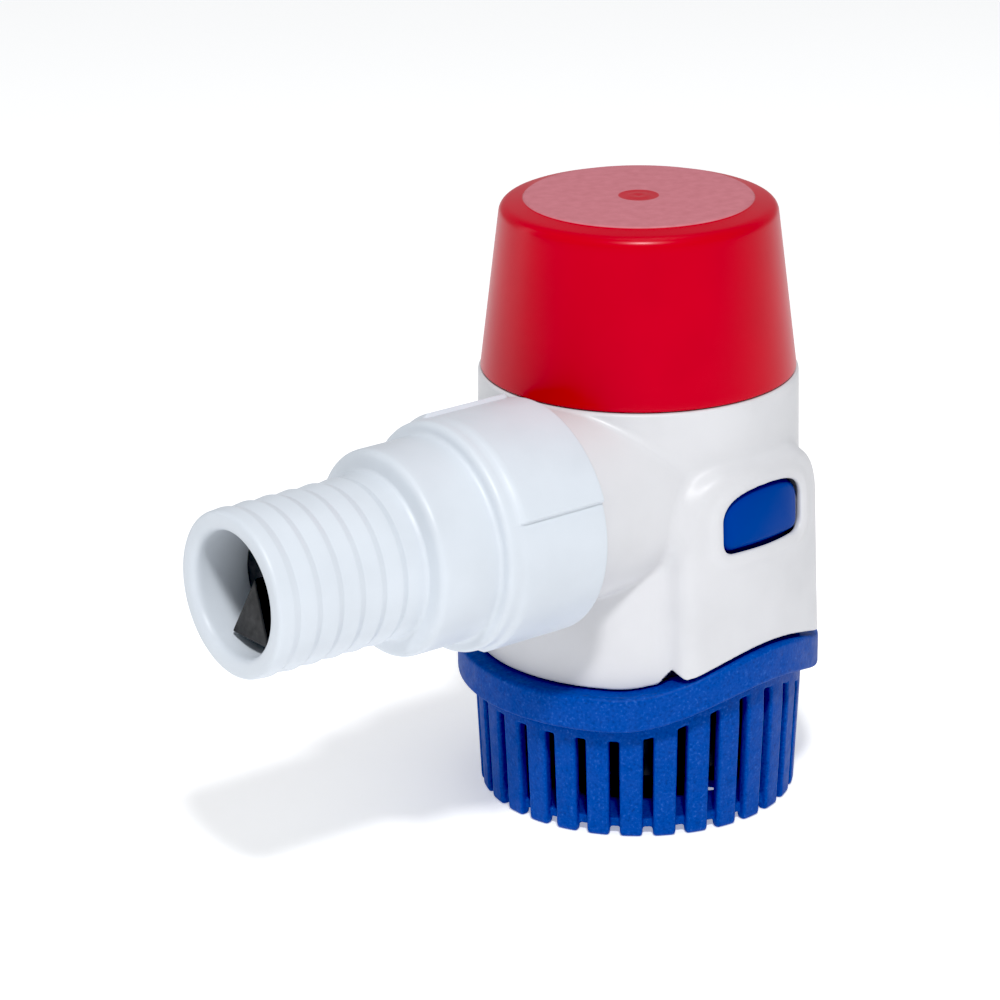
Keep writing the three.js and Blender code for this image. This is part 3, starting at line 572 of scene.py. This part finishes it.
def build_fitting():
    first = MOUTH_END - 4.2 - BARB_PITCH * BARB_COUNT
    corners = [
        (SPIGOT_R + 0.3, COLLAR_START, 0.3), (COLLAR_R - 0.2, COLLAR_START, 0.35),
        (COLLAR_R - 0.2, COLLAR_END, 1.9), (SHOULDER_R, COLLAR_END + 0.4, 1.0),
        (SHOULDER_R, SHOULDER_END, 1.6), (BARB_R + 0.3, SHOULDER_END + 0.7, 1.3),
    ]
    for i in range(BARB_COUNT):
        start = first + BARB_PITCH * i
        corners.append((BARB_R, start + BARB_PITCH * 0.22, 0.9))
        corners.append((BARB_R - BARB_DEPTH, start + BARB_PITCH * 0.92, 0.5))
    corners += [
        (BARB_R, MOUTH_END - 3.0, 0.9), (BARB_R - 0.25, MOUTH_END, 1.0),
        (BORE_R, MOUTH_END, LIP_ROUND), (BORE_R, SPIGOT_END + 3.2, 0.3),
        (SPIGOT_R + 0.3, SPIGOT_END + 3.2, 0.3),
    ]
    piece = turned("hose_fitting_shell", corners, around=720, spacing=0.7, steps=5, change=collar_grip)
    return along_discharge(piece)


def build_valve_seat():
    corners = [
        (7.6, VALVE_SEAT - 3, 0.4), (BORE_R - 0.15, VALVE_SEAT - 3, 0.3),
        (BORE_R - 0.15, VALVE_SEAT, 0.3), (7.6, VALVE_SEAT, 0.5),
    ]
    return along_discharge(turned("valve_seat_ring", corners, around=96, spacing=1.5))


def flap_field(x, y, z):
    """A rubber flap hung from its top, with a ridged stiffener on its outer face."""
    out = -x - VALVE_SEAT - 0.3
    side, up = y - PORT_Y, z - PORT_Z
    plate = common(np.hypot(side, up) - FLAP_R, between(out, 0, 1.8), 0.6)
    rise = WEDGE_TOP - WEDGE_LOW
    flank = rise * np.abs(side) + WEDGE_HALF_WIDTH * (up - WEDGE_TOP)
    flank = flank / math.hypot(rise, WEDGE_HALF_WIDTH)
    front = out - WEDGE_DEPTH + 0.12 * (up - WEDGE_LOW)
    wedge = common(common(flank, front, 0.4), WEDGE_LOW - up, 0.4)
    wedge = np.maximum(wedge, -out)
    return join(plate, wedge, 0.5)


def build_gland():
    corners = [
        (2.4, 25.0, 0.3), (4.0, 25.0, 0.3), (4.0, 29.7, 0.4), (5.8, 29.9, 0.5), (5.8, 31.6, 0.6),
        (4.1, 32.2, 0.5), (3.9, 33.3, 0.3), (3.5, 33.5, 0.3), (3.5, 34.4, 0.3), (3.85, 34.6, 0.3),
        (3.6, 36.0, 0.5), (2.4, 36.0, 0.4),
    ]
    piece = turned("lead_gland", corners, around=64, spacing=0.8, steps=4)
    place = Matrix.Rotation(GLAND_ANGLE, 4, "Z") @ Matrix.Translation((0, 0, GLAND_Z * MM))
    piece.data.transform(place @ Matrix.Rotation(math.pi / 2, 4, "Y"))
    return piece


def build_chamber():
    low, top = node_low("impeller_housing")[2], node_high("impeller_housing")[2]
    corners = [
        (8.0, low, 0.8), (23.4, low, 1.0), (25.0, low + 1.6, 1.0), (25.0, top - 2, 0.5),
        (26.1, top - 2, 0.3), (26.1, top, 0.3), (23.0, top, 0.3), (23.0, low + 2, 1.0), (8.0, low + 2, 0.5),
    ]
    return turned("impeller_chamber", corners, around=120, spacing=1.5)


# ---------------------------------------------------------------- materials

class Finish:
    """A procedural material: one surface shader with its colour, roughness and relief from noise."""

    def __init__(self, name, roughness=0.4, **fixed):
        self.material = bpy.data.materials.new(name)
        self.material.use_nodes = True
        self.nodes = self.material.node_tree.nodes
        self.links = self.material.node_tree.links
        self.shader = self.nodes["Principled BSDF"]
        self.shader.inputs["Roughness"].default_value = roughness
        for key, value in fixed.items():
            self.shader.inputs[key.replace("_", " ")].default_value = value
        self.place = self.nodes.new("ShaderNodeTexCoord").outputs["Object"]
        self.height = None

    def noise(self, size, detail=3.0, stretch=None):
        """Noise with features of a size in millimetres."""
        texture = self.nodes.new("ShaderNodeTexNoise")
        texture.inputs["Scale"].default_value = 1 / (size * MM)
        texture.inputs["Detail"].default_value = detail
        source = self.place
        if stretch:
            mapping = self.nodes.new("ShaderNodeMapping")
            mapping.inputs["Scale"].default_value = stretch
            self.links.new(source, mapping.inputs["Vector"])
            source = mapping.outputs["Vector"]
        self.links.new(source, texture.inputs["Vector"])
        return texture.outputs["Fac"]

    def ramp(self, source, stops):
        """A colour that goes through (position, colour) stops as source grows."""
        ramp = self.nodes.new("ShaderNodeValToRGB")
        for element, (position, color) in zip(ramp.color_ramp.elements, (stops[0], stops[-1])):
            element.position = position
            element.color = (*color, 1)
        for position, color in stops[1:-1]:
            ramp.color_ramp.elements.new(position).color = (*color, 1)
        self.links.new(source, ramp.inputs["Fac"])
        return ramp.outputs["Color"]

    def span(self, source, low, high, start=0.3, end=0.7):
        """A value from low to high as source goes from start to end."""
        spread = self.nodes.new("ShaderNodeMapRange")
        for key, value in (("From Min", start), ("From Max", end), ("To Min", low), ("To Max", high)):
            spread.inputs[key].default_value = value
        self.links.new(source, spread.inputs["Value"])
        return spread.outputs["Result"]

    def color(self, source):
        self.links.new(source, self.shader.inputs["Base Color"])
        return self

    def rough(self, source):
        self.links.new(source, self.shader.inputs["Roughness"])
        return self

    def relief(self, source, depth):
        """Adds relief of a depth in millimetres."""
        bump = self.nodes.new("ShaderNodeBump")
        bump.inputs["Strength"].default_value = 1.0
        bump.inputs["Distance"].default_value = depth * MM
        self.links.new(source, bump.inputs["Height"])
        if self.height:
            self.links.new(self.height, bump.inputs["Normal"])
        self.height = bump.outputs["Normal"]
        self.links.new(self.height, self.shader.inputs["Normal"])
        return self


def shade(color, share):
    return tuple(min(1.0, c * share) for c in color)


def plastic(name, color, roughness, spread=0.06, grain=0.35, depth=0.004, **fixed):
    """Moulded plastic: faint clouding, a fine skin, and uneven gloss."""
    finish = Finish(name, roughness, **fixed)
    cloud = finish.noise(14.0, 4.0)
    stops = [(0.3, shade(color, 0.955)), (0.52, color), (0.72, shade(color, 1.03))]
    finish.color(finish.ramp(cloud, stops))
    finish.rough(finish.span(finish.noise(5.0, 6.0), roughness - spread, roughness + spread))
    finish.relief(finish.noise(grain, 2.0), depth)
    finish.relief(finish.noise(9.0, 2.0), 0.02)
    return finish.material


def textured_blue():
    """Blue plastic with a fine spark-eroded texture and pale flecks."""
    color = (0.0, 0.055, 0.33)
    finish = Finish("strainer_blue", 0.55, Specular_IOR_Level=0.25)
    fleck = finish.noise(0.55, 5.0)
    finish.color(finish.ramp(fleck, [
        (0.30, shade(color, 0.72)), (0.46, color), (0.60, (0.002, 0.062, 0.35)), (0.74, (0.02, 0.1, 0.42)),
    ]))
    finish.rough(finish.span(finish.noise(2.2, 5.0), 0.5, 0.68))
    finish.relief(fleck, 0.05)
    finish.relief(finish.noise(0.22, 2.0), 0.015)
    return finish.material


def cap_red():
    """Satin red moulding, with a blank pale label on its flat top around the moulding mark."""
    color = (0.5, 0.0, 0.014)
    finish = Finish("cap_red", 0.3, Specular_IOR_Level=0.25)
    cloud = finish.noise(18.0, 3.0)
    red = finish.ramp(cloud, [(0.3, shade(color, 0.95)), (0.5, color), (0.7, shade(color, 1.04))])
    label = finish.ramp(finish.noise(2.0, 3.0), [(0.3, (0.5, 0.16, 0.19)), (0.7, (0.56, 0.19, 0.225))])
    split = finish.nodes.new("ShaderNodeSeparateXYZ")
    finish.links.new(finish.place, split.inputs["Vector"])
    on_top = finish.span(split.outputs["Z"], 0.0, 1.0, (HEIGHT - 0.3) * MM, (HEIGHT - 0.22) * MM)
    flat = finish.nodes.new("ShaderNodeVectorMath")
    flat.operation = "MULTIPLY"
    flat.inputs[1].default_value = (1, 1, 0)
    finish.links.new(finish.place, flat.inputs[0])
    reach = finish.nodes.new("ShaderNodeVectorMath")
    reach.operation = "LENGTH"
    finish.links.new(flat.outputs["Vector"], reach.inputs[0])
    off_mark = finish.span(reach.outputs["Value"], 0.0, 1.0, 3.7 * MM, 3.8 * MM)
    covered = finish.nodes.new("ShaderNodeMath")
    covered.operation = "MULTIPLY"
    finish.links.new(on_top, covered.inputs[0])
    finish.links.new(off_mark, covered.inputs[1])
    mix = finish.nodes.new("ShaderNodeMix")
    mix.data_type = "RGBA"
    finish.links.new(covered.outputs["Value"], mix.inputs["Factor"])
    finish.links.new(red, mix.inputs[6])
    finish.links.new(label, mix.inputs[7])
    finish.color(mix.outputs[2])
    finish.rough(finish.span(covered.outputs["Value"], 0.3, 0.5, 0.0, 1.0))
    finish.relief(finish.noise(6.0, 1.0), 0.012)
    return finish.material


def rubber(name, color=(0.014, 0.014, 0.015), roughness=0.5):
    finish = Finish(name, roughness, Specular_IOR_Level=0.45)
    dust = finish.noise(3.0, 6.0)
    finish.color(finish.ramp(dust, [(0.35, color), (0.7, shade(color, 1.9))]))
    finish.rough(finish.span(finish.noise(1.2, 4.0), roughness - 0.08, roughness + 0.12))
    finish.relief(finish.noise(0.4, 3.0), 0.012)
    return finish.material


def metal(name, color, roughness, stretch=(1, 1, 12), grain=1.2):
    """Metal with fine drawn or ground lines and light tarnish."""
    finish = Finish(name, roughness, Metallic=1.0)
    tarnish = finish.noise(6.0, 5.0)
    stops = [(0.3, shade(color, 0.7)), (0.55, color), (0.75, shade(color, 1.15))]
    finish.color(finish.ramp(tarnish, stops))
    lines = finish.noise(grain, 3.0, stretch)
    finish.rough(finish.span(lines, roughness - 0.08, roughness + 0.14))
    finish.relief(lines, 0.01)
    return finish.material


def wound_copper():
    """Enamelled wire laid side by side."""
    finish = Finish("copper_wire", 0.3, Metallic=0.85, Coat_Weight=0.5)
    wire = finish.nodes.new("ShaderNodeTexWave")
    wire.bands_direction = "Z"
    wire.inputs["Scale"].default_value = 260.0
    wire.inputs["Distortion"].default_value = 1.5
    finish.links.new(finish.place, wire.inputs["Vector"])
    finish.color(finish.ramp(wire.outputs["Fac"], [(0.1, (0.16, 0.05, 0.015)), (0.7, (0.5, 0.19, 0.07))]))
    finish.rough(finish.span(finish.noise(2.0), 0.25, 0.4))
    finish.relief(wire.outputs["Fac"], 0.25)
    return finish.material


def stacked_steel():
    """Thin steel plates seen edge on."""
    finish = Finish("lamination_steel", 0.4, Metallic=1.0)
    plates = finish.nodes.new("ShaderNodeTexWave")
    plates.bands_direction = "Z"
    plates.inputs["Scale"].default_value = 320.0
    finish.links.new(finish.place, plates.inputs["Vector"])
    stops = [(0.1, (0.12, 0.115, 0.11)), (0.5, (0.36, 0.36, 0.37))]
    finish.color(finish.ramp(plates.outputs["Fac"], stops))
    finish.rough(finish.span(finish.noise(3.0, 5.0), 0.32, 0.52))
    finish.relief(plates.outputs["Fac"], 0.05)
    return finish.material


# ---------------------------------------------------------------- pieces

FINISH = {
    "cap_red": cap_red(),
    "body_white": plastic("body_white", (0.62, 0.622, 0.645), 0.42, Specular_IOR_Level=0.5),
    "fitting_white": plastic("fitting_white", (0.6, 0.645, 0.70), 0.42, grain=0.5, depth=0.006),
    "strainer_blue": textured_blue(),
    "button_blue": plastic(
        "button_blue", (0.0, 0.042, 0.27), 0.4, grain=0.3, depth=0.006, Specular_IOR_Level=0.12
    ),
    # Near-black chamber plastic: a dark grey part colour with painted shade added, standing in for the
    # shaded inside of the strainer behind the slots.
    "chamber_grey": plastic("chamber_grey", (0.022, 0.023, 0.025), 0.5, grain=0.5, depth=0.012),
    "impeller_grey": plastic("impeller_grey", (0.27, 0.28, 0.3), 0.45, grain=0.5, depth=0.01),
    "shaft_steel": metal("shaft_steel", (0.55, 0.55, 0.56), 0.25, (1, 1, 20)),
    "lamination_steel": stacked_steel(),
    "zinc_plate": metal("zinc_plate", (0.5, 0.51, 0.53), 0.36, (1, 1, 0.15)),
    "bronze": metal("bronze", (0.42, 0.25, 0.1), 0.45, None, 0.5),
    "copper_wire": wound_copper(),
    "copper_bar": metal("copper_bar", (0.55, 0.23, 0.11), 0.3, (1, 1, 0.1)),
    "spring_brass": metal("spring_brass", (0.6, 0.45, 0.18), 0.3, (1, 1, 8)),
    "ferrite": plastic("ferrite", (0.045, 0.045, 0.05), 0.6, grain=0.8, depth=0.03),
    "carbon": plastic("carbon", (0.018, 0.018, 0.02), 0.5, grain=0.6, depth=0.02),
    "card_brown": plastic("card_brown", (0.27, 0.15, 0.055), 0.5, grain=1.2, depth=0.01),
    "nylon": plastic("nylon", (0.72, 0.69, 0.58), 0.42, grain=0.5, depth=0.006),
    "black_rubber": rubber("black_rubber"),
}

KEPT = {
    "impeller": "impeller_grey", "motor_shaft": "shaft_steel", "shaft_seal": "black_rubber",
    "motor_can": "zinc_plate", "lower_bearing": "bronze", "upper_bearing": "bronze",
    "lower_thrust_washer": "nylon", "upper_thrust_washer": "nylon", "magnet_left": "ferrite",
    "magnet_right": "ferrite", "armature_core": "lamination_steel", "armature_winding": "copper_wire",
    "commutator": "copper_bar", "brush_card": "card_brown", "brush_left": "carbon", "brush_right": "carbon",
    "brush_arm_left": "spring_brass", "brush_arm_right": "spring_brass", "motor_end_plate": "zinc_plate",
    "terminal_positive": "spring_brass", "terminal_negative": "spring_brass", "cap_o_ring": "black_rubber",
    "port_o_ring": "black_rubber",
}


def settle_in(piece, body, node, slot):
    """Puts a piece in its node's place, on its body, with its finish."""
    piece.data.materials.clear()
    piece.data.materials.append(FINISH[slot])
    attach(piece, body)
    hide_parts(node)


def dress_kept_nodes():
    for node, slot in KEPT.items():
        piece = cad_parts[node]
        for held in piece.material_slots:
            held.material = FINISH[slot]


def half_of(field, side):
    """Only the part of a field on one side of the plane between the pods."""
    turn_x, turn_y = math.cos(POD_ANGLE) * side, math.sin(POD_ANGLE) * side
    return lambda x, y, z: np.maximum(field(x, y, z), 12 - (x * turn_x + y * turn_y))


def build_pieces():
    coarse = 1.0
    low, high = node_low("pump_housing"), node_high("pump_housing")
    housing = field_object("housing_shell", housing_field, low, high, 0.42 * coarse, 0.36)
    settle_in(housing, "pump", "pump_housing", "body_white")
    low, high = node_low("strainer_base"), node_high("strainer_base")
    strainer = field_object("strainer_basket", strainer_field, low, high, 0.36 * coarse, 0.36)
    settle_in(strainer, "strainer", "strainer_base", "strainer_blue")
    for side, node, body in ((1, "release_tab_front", "front_tab"), (-1, "release_tab_back", "back_tab")):
        low, high = node_low(node), node_high(node)
        tab = field_object(node + "_piece", half_of(tab_field, side), low, high, 0.3 * coarse, 0.5)
        settle_in(tab, body, node, "button_blue")
    settle_in(build_cap(), "pump", "motor_cap", "cap_red")
    settle_in(build_fitting(), "hose_fitting", "discharge_fitting", "fitting_white")
    settle_in(build_valve_seat(), "hose_fitting", "check_valve_seat", "black_rubber")
    low, high = node_low("check_valve_flap"), node_high("check_valve_flap")
    flap = field_object("valve_flap_rubber", flap_field, low, high, 0.25 * coarse, 0.5)
    settle_in(flap, "valve_flap", "check_valve_flap", "black_rubber")
    settle_in(build_gland(), "pump", "wire_gland", "black_rubber")
    settle_in(build_chamber(), "pump", "impeller_housing", "chamber_grey")


# ---------------------------------------------------------------- floor, light and camera

def build_floor():
    corners = [(-1, -1, 0), (1, -1, 0), (1, 1, 0), (-1, 1, 0)]
    points = np.array(corners, float) * FLOOR_HALF
    floor = mesh_object("floor", points, np.array([[0, 1, 2, 3]]))
    finish = Finish("floor_white", 0.75, Specular_IOR_Level=0.2)
    finish.color(finish.ramp(finish.noise(400.0), [(0.3, (0.93, 0.93, 0.93)), (0.7, (0.95, 0.95, 0.95))]))
    finish.shader.inputs["Emission Color"].default_value = (1, 1, 1, 1)
    finish.shader.inputs["Emission Strength"].default_value = 0.36
    floor.data.materials.append(finish.material)


def build_world():
    world = bpy.data.worlds.new("studio")
    world.use_nodes = True
    background = world.node_tree.nodes["Background"]
    background.inputs["Color"].default_value = (0.96, 0.98, 1.0, 1)
    background.inputs["Strength"].default_value = 0.44
    bpy.context.scene.world = world
    view = bpy.context.scene.view_settings
    view.view_transform = "Standard"
    view.use_curve_mapping = True
    view.curve_mapping.black_level = (0.02, 0.02, 0.02)
    view.curve_mapping.update()


def softbox(name, place, width, height, power):
    """A rectangular area light, placed in millimetres and facing the pump."""
    data = bpy.data.lights.new(name, "AREA")
    data.shape = "RECTANGLE"
    data.size, data.size_y = width * MM, height * MM
    data.energy = power
    light = bpy.data.objects.new(name, data)
    place = Vector(place) * MM
    light.location = place
    light.rotation_euler = (Vector((0, 0, AIM_Z)) * MM - place).to_track_quat("-Z", "Y").to_euler()
    bpy.context.scene.collection.objects.link(light)


def build_camera():
    """A long lens from the front left, looking slightly down."""
    level = Vector((math.cos(CAMERA_TURN), -math.sin(CAMERA_TURN), 0))
    flat_back = Vector((-math.sin(CAMERA_TURN), -math.cos(CAMERA_TURN), 0))
    back = flat_back * math.cos(CAMERA_TILT) + Vector((0, 0, math.sin(CAMERA_TILT)))
    up = back.cross(level)
    right = level * math.cos(CAMERA_ROLL) + up * math.sin(CAMERA_ROLL)
    above = up * math.cos(CAMERA_ROLL) - level * math.sin(CAMERA_ROLL)
    aim = Vector((0, 0, AIM_Z)) - right * CAMERA_SHIFT[0] - above * CAMERA_SHIFT[1]
    place = (aim + back * CAMERA_AWAY) * MM
    data = bpy.data.cameras.new("camera")
    data.sensor_width = 36.0
    data.lens = 140.1
    camera = bpy.data.objects.new("camera", data)
    camera.matrix_world = Matrix((
        (right.x, above.x, back.x, place.x),
        (right.y, above.y, back.y, place.y),
        (right.z, above.z, back.z, place.z),
        (0, 0, 0, 1),
    ))
    bpy.context.scene.collection.objects.link(camera)
    bpy.context.scene.camera = camera


build_camera()
build_world()
build_floor()
softbox("key", (-380, -520, 860), 110, 110, 7.0)
softbox("overhead", (100, 0, 1100), 500, 500, 1.0)
softbox("left strip", (-640, 900, 350), 160, 700, 0.8)
dress_kept_nodes()
build_pieces()
